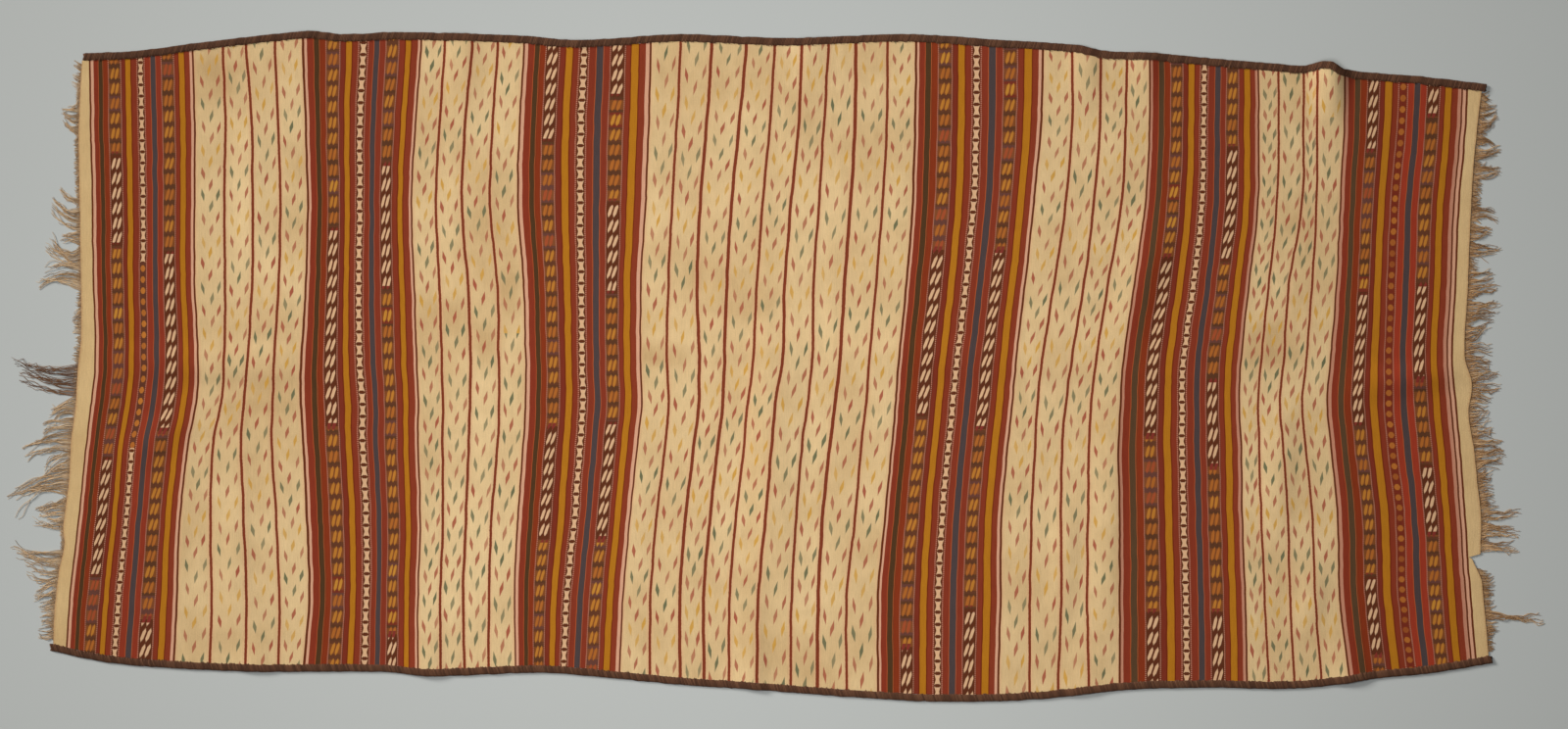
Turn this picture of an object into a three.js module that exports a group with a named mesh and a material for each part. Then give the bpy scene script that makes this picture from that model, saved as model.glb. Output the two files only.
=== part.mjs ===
import * as THREE from "three";

// A flat-woven rug that lies on a floor, seen from above. Millimetres, +Z up, the floor at z = 0.
// +X runs along the warps, from the left fringe to the right one, and +Y towards the far long side.

// Driving dimensions
const clothThickness = 3;
const bindingWidth = 16.5;
const bindingThickness = 6.5;
const stripWidth = 8;
const lockPitch = 10;
const lockHalfWidth = 2.9;
const lockTipThickness = 1.8;
const pieceGap = 0.3;
const lengthCells = 64;
const widthCells = 28;

// Outer edge of each long side, as [x, y] from the left corner to the right one
const farSide = [
  [-1650, 737], [-1507, 744], [-1369, 762], [-1108, 790], [-1018, 783], [-897, 788], [-595, 779],
  [-484, 769], [-375, 774], [-232, 783], [24, 774], [306, 783], [516, 770], [708, 757], [766, 744],
  [884, 739], [999, 728], [1180, 713], [1237, 709], [1299, 718], [1334, 700], [1528, 682], [1680, 664],
];
const nearSide = [
  [-1720, -668], [-1600, -694], [-1487, -707], [-1242, -719], [-928, -720], [-817, -730], [-553, -722],
  [-387, -735], [-218, -751], [-50, -762], [156, -778], [380, -790], [604, -785], [828, -762],
  [1034, -757], [1177, -760], [1295, -753], [1413, -735], [1530, -724], [1690, -698],
];

// Outer edge of the skirt at each end, as [y, x] from the near corner to the far one
const leftEnd = [
  [-700, -1706], [-573, -1701], [-478, -1690], [-420, -1678], [-383, -1681], [-268, -1667],
  [-171, -1662], [-97, -1652], [-9, -1647], [67, -1639], [323, -1641], [560, -1644], [740, -1636],
];
const rightEnd = [
  [-720, 1680], [-605, 1671], [-524, 1663], [-437, 1658], [-358, 1660], [-277, 1651], [-196, 1643],
  [-109, 1630], [-42, 1638], [25, 1621], [180, 1628], [328, 1634], [462, 1641], [557, 1650], [680, 1664],
];

// Tear through the right skirt: it opens from its tip, and its near lip has shrunk back
const tear = { y: -449.5, depth: 27, farLip: 7.5, nearLip: 4, shrunk: 20, shrunkLength: 52 };

// Ripples that lift the cloth: a crest from [x, y] to [toX, toY], which starts at full height where it
// runs in from outside a long side and fades at every end that lies on the cloth
const ripples = [
  { x: 1303, y: 840, toX: 1316, toY: 505, height: 21, left: 66, right: 44 },
  { x: 872, y: 880, toX: 879, toY: 545, height: 8, left: 52, right: 40 },
  { x: 738, y: 900, toX: 720, toY: 510, height: 6, left: 56, right: 50 },
  { x: 88, y: 910, toX: 74, toY: 570, height: 5, left: 58, right: 58 },
  { x: -484, y: 900, toX: -466, toY: 545, height: 4.5, left: 62, right: 62 },
  { x: -1120, y: 900, toX: -1100, toY: 600, height: 4, left: 70, right: 60 },
  { x: -38, y: -930, toX: -47, toY: -40, height: 10, left: 70, right: 48 },
  { x: -817, y: -860, toX: -834, toY: -500, height: 5.5, left: 62, right: 56 },
  { x: -1242, y: -850, toX: -1222, toY: -515, height: 4.5, left: 60, right: 60 },
  { x: 710, y: -930, toX: 735, toY: -590, height: 5, left: 62, right: 62 },
  { x: 1384, y: -880, toX: 1312, toY: -520, height: 7, left: 60, right: 56 },
  { x: -352, y: 66, toX: 1050, toY: -26, height: 3.5, left: 64, right: 64, inside: true },
  { x: -1628, y: 16, toX: -1080, toY: -4, height: 5.5, left: 56, right: 56, inside: true },
  { x: 1622, y: -20, toX: 1330, toY: -44, height: 8, left: 52, right: 52, inside: true },
  { x: 926, y: 390, toX: 800, toY: 14, height: 5.5, left: 72, right: 62, inside: true },
  { x: -1352, y: -96, toX: -1560, toY: -236, height: 5, left: 62, right: 62, inside: true },
];

// Tufts of warp ends, from the far corner to the near one. Each is rooted from y = from to y = to.
// reach is its length past the skirt, drift how far its tips lie towards the far side, gather the
// width left at the tips as a share of the root, and bow how far its middle arches to the far side.
const leftTufts = [
  { from: 712, to: 649, reach: 22, drift: 12, gather: 0.9, bow: 0 },
  { from: 649, to: 626, reach: 12, drift: 4, gather: 0.9, bow: 0 },
  { from: 626, to: 541, reach: 40, drift: 8, gather: 0.55, bow: -3 },
  { from: 541, to: 397, reach: 14, drift: 2, gather: 0.95, bow: 0 },
  { from: 397, to: 377, reach: 52, drift: 30, gather: 0.5, bow: -8 },
  { from: 377, to: 323, reach: 74, drift: 40, gather: 0.35, bow: -10 },
  { from: 323, to: 284, reach: 44, drift: 5, gather: 0.6, bow: 0 },
  { from: 284, to: 231, reach: 80, drift: 30, gather: 0.35, bow: -14 },
  { from: 231, to: 176, reach: 104, drift: -4, gather: 0.5, bow: 14 },
  { from: 176, to: 139, reach: 15, drift: 0, gather: 0.95, bow: 0 },
  { from: 139, to: 74, reach: 24, drift: -5, gather: 0.8, bow: 0 },
  { from: 74, to: 9, reach: 18, drift: -2, gather: 0.9, bow: 0 },
  { from: 9, to: -69, reach: 152, drift: 28, gather: 0.36, bow: -8 },
  { from: -69, to: -120, reach: 60, drift: -20, gather: 0.5, bow: 8 },
  { from: -120, to: -152, reach: 75, drift: -10, gather: 0.5, bow: 3 },
  { from: -152, to: -201, reach: 112, drift: -20, gather: 0.42, bow: 2 },
  { from: -201, to: -243, reach: 72, drift: -26, gather: 0.5, bow: 4 },
  { from: -243, to: -305, reach: 136.5, drift: -40, gather: 0.38, bow: 4 },
  { from: -305, to: -386, reach: 72, drift: -4, gather: 0.6, bow: 0 },
  { from: -386, to: -432, reach: 10, drift: 0, gather: 0.95, bow: 0 },
  { from: -432, to: -478, reach: 114, drift: 18, gather: 0.5, bow: -4 },
  { from: -478, to: -506, reach: 92, drift: 2, gather: 0.55, bow: -2 },
  { from: -506, to: -543, reach: 62, drift: -20, gather: 0.55, bow: 3 },
  { from: -543, to: -640, reach: 38, drift: -8, gather: 0.88, bow: 0 },
];
const rightFarTufts = [
  { from: 645, to: 612, reach: 22, drift: 8, gather: 0.9, bow: 0 },
  { from: 612, to: 582, reach: 44, drift: 10, gather: 0.7, bow: 0 },
  { from: 582, to: 545, reach: 49, drift: 14, gather: 0.6, bow: 0 },
  { from: 545, to: 517, reach: 53, drift: 4, gather: 0.6, bow: 2 },
  { from: 517, to: 483, reach: 65, drift: 9, gather: 0.6, bow: 0 },
  { from: 483, to: 439, reach: 69, drift: -2, gather: 0.6, bow: 0 },
  { from: 439, to: 372, reach: 24, drift: 0, gather: 0.9, bow: 0 },
  { from: 372, to: 340, reach: 69, drift: -4, gather: 0.5, bow: 8 },
  { from: 340, to: 296, reach: 50, drift: -2, gather: 0.65, bow: 0 },
  { from: 296, to: 259, reach: 74, drift: 8, gather: 0.6, bow: -3 },
  { from: 259, to: 219, reach: 14, drift: 0, gather: 0.95, bow: 0 },
  { from: 219, to: 192, reach: 60, drift: 5, gather: 0.65, bow: 0 },
  { from: 192, to: 157, reach: 78, drift: 11, gather: 0.6, bow: 0 },
  { from: 157, to: 127, reach: 85, drift: 14, gather: 0.6, bow: -2 },
  { from: 127, to: 79, reach: 65, drift: 12, gather: 0.55, bow: 0 },
  { from: 79, to: 51, reach: 55, drift: 9, gather: 0.6, bow: 0 },
  { from: 51, to: -65, reach: 66, drift: 5, gather: 0.8, bow: 0 },
  { from: -65, to: -166, reach: 54, drift: 3, gather: 0.85, bow: 0 },
  { from: -166, to: -249, reach: 70, drift: 6, gather: 0.75, bow: 0 },
  { from: -249, to: -337, reach: 42, drift: 0, gather: 0.9, bow: 0 },
  { from: -337, to: -363, reach: 97, drift: 3, gather: 0.6, bow: 0 },
  { from: -363, to: -438, reach: 92, drift: -2, gather: 0.75, bow: 0 },
];
const rightNearTufts = [
  { from: -476, to: -522, reach: 34, drift: 4, gather: 0.85, bow: 0 },
  { from: -522, to: -573, reach: 32, drift: 2, gather: 0.85, bow: 0 },
  { from: -573, to: -596, reach: 136.5, drift: -4, gather: 0.7, bow: 8 },
  { from: -596, to: -638, reach: 30, drift: 0, gather: 0.85, bow: 0 },
  { from: -638, to: -674, reach: 16, drift: 0, gather: 0.9, bow: 0 },
];

const colors = { ivory: 0xd7be8c, hair: 0x4b3228, warp: 0x9a7b58 };

// A smooth curve through the points of a table, value against position
function curveThrough(points) {
  const slope = (i) => {
    const before = points[Math.max(i - 1, 0)];
    const after = points[Math.min(i + 1, points.length - 1)];
    return (after[1] - before[1]) / (after[0] - before[0]);
  };
  return (position) => {
    let i = 0;
    while (i < points.length - 2 && position > points[i + 1][0]) i += 1;
    const [start, startValue] = points[i];
    const [end, endValue] = points[i + 1];
    const span = end - start;
    const t = THREE.MathUtils.clamp((position - start) / span, 0, 1);
    const blend = t * t * (3 - 2 * t);
    const startPull = slope(i) * span * t * (1 - t) * (1 - t);
    const endPull = slope(i + 1) * span * t * t * (t - 1);
    return startValue + (endValue - startValue) * blend + startPull + endPull;
  };
}

const farEdge = curveThrough(farSide);
const nearEdge = curveThrough(nearSide);
const leftEdge = curveThrough(leftEnd);
const rightEdge = curveThrough(rightEnd);

// How far the right skirt's edge lies inside its outline beside the tear
function tearDepth(y) {
  const offset = y - tear.y;
  if (offset > tear.farLip || offset < -tear.shrunkLength) return 0;
  if (offset >= 0) return tear.depth * (1 - offset / tear.farLip);
  if (offset >= -tear.nearLip) return tear.depth + (tear.shrunk - tear.depth) * (-offset / tear.nearLip);
  return tear.shrunk * (1 + (offset + tear.nearLip) / (tear.shrunkLength - tear.nearLip));
}

// The four sides of the cloth itself, inside the bindings and the fringe strips
const innerFar = (x) => farEdge(x) - bindingWidth - pieceGap;
const innerNear = (x) => nearEdge(x) + bindingWidth + pieceGap;
const innerLeft = (y) => leftEdge(y) + stripWidth + pieceGap;
const innerRight = (y) => rightEdge(y) - stripWidth - pieceGap;

// Height of the cloth's underside over the floor
function lift(x, y) {
  let height = 0;
  for (const ripple of ripples) {
    const alongX = ripple.toX - ripple.x;
    const alongY = ripple.toY - ripple.y;
    const length = Math.hypot(alongX, alongY);
    const along = ((x - ripple.x) * alongX + (y - ripple.y) * alongY) / (length * length);
    const across = ((x - ripple.x) * alongY - (y - ripple.y) * alongX) / length;
    const foot = x < ripple.x + alongX * along ? ripple.left : ripple.right;
    const side = Math.min(Math.abs(across) / foot, 1);
    const fade = ripple.inside
      ? Math.sin(Math.PI * THREE.MathUtils.clamp(along, 0, 1))
      : 1 - THREE.MathUtils.smoothstep(along, 0.25, 1);
    height += ripple.height * fade * (1 - side * side) ** 2;
  }
  return height;
}

// The point of the cloth at a share of its length and of its width
function clothPoint(lengthShare, widthShare) {
  let x = THREE.MathUtils.lerp(innerLeft(0), innerRight(0), lengthShare);
  let y = 0;
  for (let round = 0; round < 8; round += 1) {
    y = THREE.MathUtils.lerp(innerNear(x), innerFar(x), widthShare);
    x = THREE.MathUtils.lerp(innerLeft(y), innerRight(y), lengthShare);
  }
  return [lengthShare === 1 ? x - tearDepth(y) : x, y];
}

// The share of the width at which the cloth's right end has this y
function rightShare(y) {
  const nearY = clothPoint(1, 0)[1];
  const width = clothPoint(1, 1)[1] - nearY;
  let share = (y - nearY) / width;
  for (let round = 0; round < 8; round += 1) share += (y - clothPoint(1, share)[1]) / width;
  return share;
}

function evenSteps(from, to, count) {
  return Array.from({ length: count }, (_, i) => THREE.MathUtils.lerp(from, to, i / count));
}

// A closed body through rings of points, each as a section seen from +X, counter-clockwise. A ring
// runs out along one side and back along the other, so its ends are closed by a ladder of faces.
function loft(rings) {
  const count = rings[0].length;
  const index = [];
  const quad = (a, b, c, d) => index.push(a, b, c, a, c, d);
  for (let row = 0; row < rings.length - 1; row += 1) {
    const start = row * count;
    for (let i = 0; i < count; i += 1) {
      const next = (i + 1) % count;
      quad(start + i, start + next, start + count + next, start + count + i);
    }
  }
  const last = (rings.length - 1) * count;
  for (let i = 0; i < count / 2 - 1; i += 1) {
    quad(count - 1 - i, count - 2 - i, i + 1, i);
    quad(last + i, last + i + 1, last + count - 2 - i, last + count - 1 - i);
  }
  const geometry = new THREE.BufferGeometry();
  geometry.setAttribute("position", new THREE.Float32BufferAttribute(rings.flat(2), 3));
  geometry.setIndex(index);
  geometry.computeVertexNormals();
  return geometry;
}

// Shares of the length and the width at which the cloth bends, with rows on the lips of the tear
const nearLipShare = rightShare(tear.y - tear.nearLip);
const tipShare = rightShare(tear.y);
const farLipShare = rightShare(tear.y + tear.farLip);
const rowsBelowTear = Math.round(nearLipShare * widthCells);
const lengthShares = [...evenSteps(0, 1, lengthCells), 1];
const nearShares = [...evenSteps(0, nearLipShare, rowsBelowTear), nearLipShare];
const farShares = [...evenSteps(farLipShare, 1, widthCells - rowsBelowTear), 1];
const widthShares = [...nearShares, tipShare, ...farShares];

function clothGeometry() {
  const rings = lengthShares.map((lengthShare) => {
    const under = widthShares.map((widthShare) => {
      const [x, y] = clothPoint(lengthShare, widthShare);
      return [x, y, lift(x, y)];
    });
    const top = under.map(([x, y, z]) => [x, y, z + clothThickness]);
    return [...under, ...top.reverse()];
  });
  return loft(rings);
}

// Section of a binding: share of its width away from the cloth, and of its thickness
const bindingSection = [[0, 0], [1, 0], [1, 0.45], [0.78, 1], [0.25, 1], [0, 0.7]];

// A binding along a long side: outward is 1 on the far side and -1 on the near one
function bindingGeometry(edge, outward, fromX, toX) {
  const besideCloth = lengthShares.map((share) => clothPoint(share, outward > 0 ? 1 : 0)[0]);
  const stations = [fromX, ...besideCloth, toX];
  const rings = stations.map((x) => {
    const innerY = edge(x) - outward * bindingWidth;
    const floor = lift(x, innerY);
    const ring = bindingSection.map(([across, height]) => [
      x, innerY + outward * bindingWidth * across, floor + bindingThickness * height,
    ]);
    return outward > 0 ? ring : ring.reverse();
  });
  return loft(rings);
}

// A number from 0 to 1 that changes from lock to lock
const uneven = (i) => (i * 0.618) % 1;

// Outline of one lock, from its root over its tip and back to its root
function lockOutline(tuft, i, count, edge, outward) {
  const middle = (tuft.from + tuft.to) / 2;
  const offset = (0.5 - (i + 0.5) / count) * (tuft.from - tuft.to);
  const end = 1 - 0.2 * uneven(i);
  const pointAt = (share, halfWidth) => {
    const gathered = THREE.MathUtils.lerp(1, tuft.gather, share);
    const arch = tuft.bow * 4 * share * (1 - share);
    const y = middle + tuft.drift * share + offset * gathered + arch;
    return [edge(middle + offset) + outward * tuft.reach * share, y + halfWidth];
  };
  return [
    [edge(middle + offset + lockHalfWidth), middle + offset + lockHalfWidth],
    pointAt(end / 2, lockHalfWidth * 0.75),
    pointAt(end, 0),
    pointAt(end / 2, -lockHalfWidth * 0.75),
    [edge(middle + offset - lockHalfWidth), middle + offset - lockHalfWidth],
  ];
}

// A strip of the skirt with its locks, along one end: outward is 1 at the right and -1 at the left.
// Where the strip meets a binding, its end follows that binding's slope.
function fringeGeometry(edge, outward, shares, tufts) {
  const endShare = outward > 0 ? 1 : 0;
  const inner = shares.map((share) => {
    const y = clothPoint(endShare, share)[1];
    return [edge(y) - outward * stripWidth, y];
  });
  const [nearX, nearY] = inner[0];
  const [farX, farY] = inner[inner.length - 1];
  const nearRise = shares[0] === 0 ? innerNear(nearX + outward * stripWidth) - innerNear(nearX) : 0;
  const farRise = shares.at(-1) === 1 ? innerFar(farX + outward * stripWidth) - innerFar(farX) : 0;
  const outline = [...inner, [farX + outward * stripWidth, farY + farRise]];
  for (const tuft of tufts) {
    const count = Math.round((tuft.from - tuft.to) / lockPitch);
    for (let i = 0; i < count; i += 1) outline.push(...lockOutline(tuft, i, count, edge, outward));
  }
  outline.push([nearX + outward * stripWidth, nearY + nearRise]);
  const shape = new THREE.Shape(outline.map(([x, y]) => new THREE.Vector2(x, y)));
  const geometry = new THREE.ExtrudeGeometry(shape, { depth: clothThickness, bevelEnabled: false });
  const longest = Math.max(...tufts.map((tuft) => tuft.reach));
  const position = geometry.getAttribute("position");
  for (let i = 0; i < position.count; i += 1) {
    if (position.getZ(i) === 0) continue;
    const past = outward * (position.getX(i) - edge(position.getY(i)));
    const share = THREE.MathUtils.clamp(past / longest, 0, 1);
    position.setZ(i, THREE.MathUtils.lerp(clothThickness, lockTipThickness, share));
  }
  geometry.computeVertexNormals();
  return geometry;
}

const rug = new THREE.Group();

function addPiece(name, geometry, color, roughness) {
  const material = new THREE.MeshStandardMaterial({ color, roughness, metalness: 0 });
  const mesh = new THREE.Mesh(geometry, material);
  mesh.name = name;
  rug.add(mesh);
}

const skirtEdge = (y) => rightEdge(y) - tearDepth(y);
addPiece("cloth", clothGeometry(), colors.ivory, 0.95);
addPiece("binding_far", bindingGeometry(farEdge, 1, -1632, 1670), colors.hair, 0.9);
addPiece("binding_near", bindingGeometry(nearEdge, -1, -1710, 1684), colors.hair, 0.9);
addPiece("fringe_left", fringeGeometry(leftEdge, -1, widthShares, leftTufts), colors.warp, 0.95);
addPiece("fringe_right_far", fringeGeometry(skirtEdge, 1, farShares, rightFarTufts), colors.warp, 0.95);
addPiece("fringe_right_near", fringeGeometry(skirtEdge, 1, nearShares, rightNearTufts), colors.warp, 0.95);

export default rug;
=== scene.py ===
import math
import random

import bpy
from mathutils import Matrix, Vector, noise


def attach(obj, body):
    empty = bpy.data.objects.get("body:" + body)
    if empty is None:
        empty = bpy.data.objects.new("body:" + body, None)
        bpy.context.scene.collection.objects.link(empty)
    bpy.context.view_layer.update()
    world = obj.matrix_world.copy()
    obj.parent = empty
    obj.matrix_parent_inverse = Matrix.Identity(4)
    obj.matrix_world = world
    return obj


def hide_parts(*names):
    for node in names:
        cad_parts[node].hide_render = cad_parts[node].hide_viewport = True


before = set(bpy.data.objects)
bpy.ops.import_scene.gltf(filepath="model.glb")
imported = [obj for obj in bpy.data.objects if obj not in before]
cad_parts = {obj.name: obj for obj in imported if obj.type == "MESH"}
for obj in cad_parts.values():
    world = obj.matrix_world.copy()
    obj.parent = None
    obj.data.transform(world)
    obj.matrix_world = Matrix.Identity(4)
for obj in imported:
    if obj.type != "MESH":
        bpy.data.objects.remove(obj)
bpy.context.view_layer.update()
bpy.ops.object.select_all(action="DESELECT")
mm = 0.001

# The rug's outline in millimetres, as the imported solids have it: x, y along the two long sides, and
# y, x along the two ends
outline = {
    "far": [
        (-1650, 737), (-1507, 744), (-1369, 762), (-1108, 790), (-1018, 783), (-897, 788), (-595, 779),
        (-484, 769), (-375, 774), (-232, 783), (24, 774), (306, 783), (516, 770), (708, 757), (766, 744),
        (884, 739), (999, 728), (1180, 713), (1237, 709), (1299, 718), (1334, 700), (1528, 682),
        (1680, 664),
    ],
    "near": [
        (-1720, -668), (-1600, -694), (-1487, -707), (-1242, -719), (-928, -720), (-817, -730),
        (-553, -722), (-387, -735), (-218, -751), (-50, -762), (156, -778), (380, -790), (604, -785),
        (828, -762), (1034, -757), (1177, -760), (1295, -753), (1413, -735), (1530, -724), (1690, -698),
    ],
    "left": [
        (-700, -1706), (-573, -1701), (-478, -1690), (-420, -1678), (-383, -1681), (-268, -1667),
        (-171, -1662), (-97, -1652), (-9, -1647), (67, -1639), (323, -1641), (560, -1644), (740, -1636),
    ],
    "right": [
        (-720, 1680), (-605, 1671), (-524, 1663), (-437, 1658), (-358, 1660), (-277, 1651), (-196, 1643),
        (-109, 1630), (-42, 1638), (25, 1621), (180, 1628), (328, 1634), (462, 1641), (557, 1650),
        (680, 1664),
    ],
}
tear = {"y": -449.5, "shape": [(-52, 0), (-4, 20), (0, 27), (7.5, 0)]}  # distances from y, and depths

# Ripples: crest from x, y to toX, toY, its height, its foot to the left and right, and whether it
# fades at both ends
ripples = [
    (1303, 840, 1316, 505, 21, 66, 44, False),
    (872, 880, 879, 545, 8, 52, 40, False),
    (738, 900, 720, 510, 6, 56, 50, False),
    (88, 910, 74, 570, 5, 58, 58, False),
    (-484, 900, -466, 545, 4.5, 62, 62, False),
    (-1120, 900, -1100, 600, 4, 70, 60, False),
    (-50, -930, -47, -330, 5, 66, 30, False),
    (-817, -860, -834, -500, 5.5, 62, 56, False),
    (-1242, -850, -1222, -515, 4.5, 60, 60, False),
    (710, -930, 735, -590, 5, 62, 62, False),
    (1384, -880, 1312, -520, 7, 60, 56, False),
    (-352, 66, 1050, -26, 3.5, 64, 64, True),
    (-1628, 16, -1080, -4, 5.5, 56, 56, True),
    (1622, -20, 1330, -44, 8, 52, 52, True),
    (926, 390, 800, 14, 5.5, 72, 62, True),
    (-1352, -96, -1560, -236, 5, 62, 62, True),
    (-24, 170, -12, -590, 7, 72, 104, True),
    (-742, 900, -736, 430, 4, 62, 50, False),
    (690, -290, 676, -640, 3.5, 52, 34, True),
    (790, 60, 772, -770, 4.5, 60, 46, True),
    (1196, -60, 1180, -450, 4.5, 60, 44, True),
    (1270, -450, 1255, -650, 4, 50, 42, True),
    (-1238, 620, -1232, 250, 3, 52, 50, True),
    (-1274, -290, -1270, -650, 3, 52, 50, True),
]


def curveThrough(points):
    slopes = []
    for before, after in zip(points[:1] + points[:-1], points[1:] + points[-1:]):
        slopes.append((after[1] - before[1]) / (after[0] - before[0]))

    def value(position):
        i = 0
        while i < len(points) - 2 and position > points[i + 1][0]:
            i += 1
        start, startValue = points[i]
        end, endValue = points[i + 1]
        span = end - start
        t = min(max((position - start) / span, 0), 1)
        blend = t * t * (3 - 2 * t)
        pull = slopes[i] * t * (1 - t) ** 2 + slopes[i + 1] * t * t * (t - 1)
        return startValue + (endValue - startValue) * blend + span * pull

    return value


farEdge = curveThrough(outline["far"])
nearEdge = curveThrough(outline["near"])
leftEdge = curveThrough(outline["left"])
rightEdge = curveThrough(outline["right"])


def noiseOf(x, y, z):
    return noise.noise(Vector((x, y, z)))


def smooth(value, low, high):
    t = min(max((value - low) / (high - low), 0), 1)
    return t * t * (3 - 2 * t)


def tearDepth(y):
    offset = y - tear["y"]
    for (start, startDepth), (end, endDepth) in zip(tear["shape"], tear["shape"][1:]):
        if start <= offset <= end:
            return startDepth + (endDepth - startDepth) * (offset - start) / (end - start)
    return 0


def skirtEdge(y):
    return rightEdge(y) - tearDepth(y)


def lift(x, y):  # height of the underside over the floor
    height = 0
    for startX, startY, toX, toY, crest, left, right, inside in ripples:
        alongX = toX - startX
        alongY = toY - startY
        length = math.hypot(alongX, alongY)
        across = abs((x - startX) * alongY - (y - startY) * alongX) / length
        along = ((x - startX) * alongX + (y - startY) * alongY) / length ** 2
        foot = left if x < startX + alongX * along else right
        if across >= foot:
            continue
        fade = math.sin(math.pi * min(max(along, 0), 1)) if inside else 1 - smooth(along, 0.25, 1)
        height += crest * fade * (1 - (across / foot) ** 2) ** 2
    cockle = noiseOf(x / 95, y / 120, 4.2) + 0.5 * noiseOf(x / 38, y / 60, 9)
    return height + 0.7 * max(cockle, 0)


# Where the bands lie. Each band's first line, middle and last line, in millimetres from the rug's
# middle, at ten stations from the far side to the near one
stations = [748, 564, 379, 194, 9, -83, -176, -360, -545, -730]
seams = {
    "A": (
        [-1620, -1618, -1614, -1611, -1607, -1616, -1627, -1646, -1667, -1678],
        [-1500, -1496, -1493, -1493, -1491, -1500, -1516, -1533, -1551, -1565],
        [-1378, -1373, -1373, -1373, -1364, -1369, -1387, -1408, -1415, -1424],
    ),
    "B": (
        [-1103, -1098, -1094, -1098, -1108, -1108, -1103, -1094, -1089, -1103],
        [-969, -978, -978, -980, -978, -971, -971, -962, -962, -967],
        [-840, -854, -863, -856, -851, -847, -847, -842, -847, -847],
    ),
    "C": (
        [-579, -590, -593, -581, -576, -576, -581, -595, -604, -602],
        [-449, -457, -459, -456, -454, -452, -459, -472, -491, -500],
        [-299, -304, -312, -322, -323, -320, -329, -348, -364, -373],
    ),
    "D": (
        [329, 326, 320, 306, 287, 281, 273, 255, 239, 239],
        [470, 470, 463, 445, 424, 415, 405, 389, 380, 378],
        [627, 622, 605, 585, 563, 555, 545, 529, 527, 522],
    ),
    "E": (
        [881, 882, 871, 846, 820, 814, 809, 811, 812, 812],
        [1011, 1008, 1004, 985, 960, 958, 958, 962, 967, 969],
        [1131, 1133, 1131, 1110, 1091, 1087, 1091, 1094, 1101, 1105],
    ),
    "F": (
        [1343, 1341, 1332, 1323, 1309, 1302, 1309, 1327, 1332, 1353],
        [1475, 1466, 1450, 1443, 1436, 1436, 1443, 1463, 1470, 1491],
        [1618, 1611, 1595, 1588, 1579, 1588, 1597, 1611, 1623, 1639],
    ),
}

# Where each stripe of a band starts, in hundredths of the band's width, and where the last one ends
stripeStarts = {
    "A": [-0.1, 1.4, 4.2, 8.5, 13.5, 18, 31, 35, 40, 46,
          54, 59, 65, 69.5, 82.5, 87, 92, 97.3, 99.5, 101.6],
    "B": [-5.8, -3.8, -1.5, 4.3, 10, 15, 28, 33, 38, 43.5,
          53, 57.5, 63.5, 68.5, 81, 87, 91.5, 98, 99.8, 101.8],
    "C": [-7, -5.5, -2.5, 3.3, 8.7, 13.5, 26.5, 32, 38, 43.5,
          53, 58, 64.5, 69, 81.5, 86, 91.5, 97, 99.8, 101.6],
    "D": [-1, 0.8, 2.5, 7.3, 13, 18, 30.3, 35, 40.5, 46,
          54.3, 59, 65.5, 70, 81.5, 86.5, 92, 97, 99, 101],
    "E": [-2, -0.3, 1.4, 6.8, 12.8, 17.8, 29.8, 34.5, 40, 45,
          53.4, 59, 65.5, 70, 82.5, 87.5, 93, 98, 100, 102],
    "F": [-2.5, -0.8, 1.7, 7.3, 13.5, 19, 31, 35.5, 42, 47.5,
          56, 60.5, 66.5, 71, 82.5, 86.5, 91.5, 96.8, 99.2, 100.8],
}

# Lines in the ivory fields: their place as a share of the field, their half width, and how far they
# stray to the right at the ten stations, where they stray much
fieldLines = {
    "A": [(0.24, 3.2), (0.501, 3.2), (0.76, 3.2)],
    "B": [(0.226, 3.2), (0.481, 3.4), (0.748, 3.2)],
    "C": [(0.105, 3.2), (0.226, 3.9), (0.325, 3.9), (0.432, 3.2), (0.541, 3.7), (0.658, 3.2), (0.768, 4.2),
          (0.888, 3.2)],
    "D": [(0.252, 3.2), (0.508, 3.2), (0.744, 3.2)],
    "E": [(0.212, 2.8), (0.484, 2.8), (0.722, 2.8)],
}
strays = {
    "A0": [8, 8, 5, 8, 1, -1, -8, -1, 5, 11],
    "A1": [-4, 4, 4, 5, -6, -11, -12, 1, 8, 17],
    "A2": [-2, -1, 1, 0, -4, -6, -8, 1, 6, 17],
    "B1": [4, -1, -1, 2, 4, 0, 0, -3, -3, -1],
    "B2": [0, 0, -1, 4, 2, 3, 3, -3, -2, -5],
    "C0": [3, -2, -5, -3, -3, -1, 0, -2, 0, 6],
    "C1": [1, -7, -14, -10, 0, -2, -3, -6, -3, 5],
    "C2": [21, 8, -2, -2, 0, -4, -6, -7, -6, 1],
    "C3": [22, 14, 4, 3, 2, -9, -8, -10, -8, -5],
    "C4": [18, 14, 3, 1, 6, -8, -8, -5, -6, -5],
    "C5": [8, 1, -4, -4, 6, -2, -6, -3, 3, 4],
    "C6": [4, 6, 1, 1, 4, -2, -6, -6, 0, 0],
    "C7": [5, 6, 2, 1, 1, 0, -3, -1, -5, -3],
    "D0": [4, 7, 8, 2, -4, -6, -3, 0, -3, 0],
    "D1": [9, 8, 8, 8, 2, -3, -4, -1, 0, -4],
    "D2": [13, 10, 12, 5, 1, -2, -1, -2, -3, 1],
    "E0": [3, 3, 2, 2, 1, -1, -4, -4, -3, -1],
    "E1": [10, 8, 10, -6, -2, -5, -4, -2, -2, -5],
    "E2": [-8, -7, -1, 1, 2, -1, 0, 4, 4, 3],
}

# Stripes, counted from 0 at a band's left side, that hold leaning strokes or crossed hourglasses (X)
figureStripes = {5: "1", 9: "X", 13: "2"}

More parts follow.
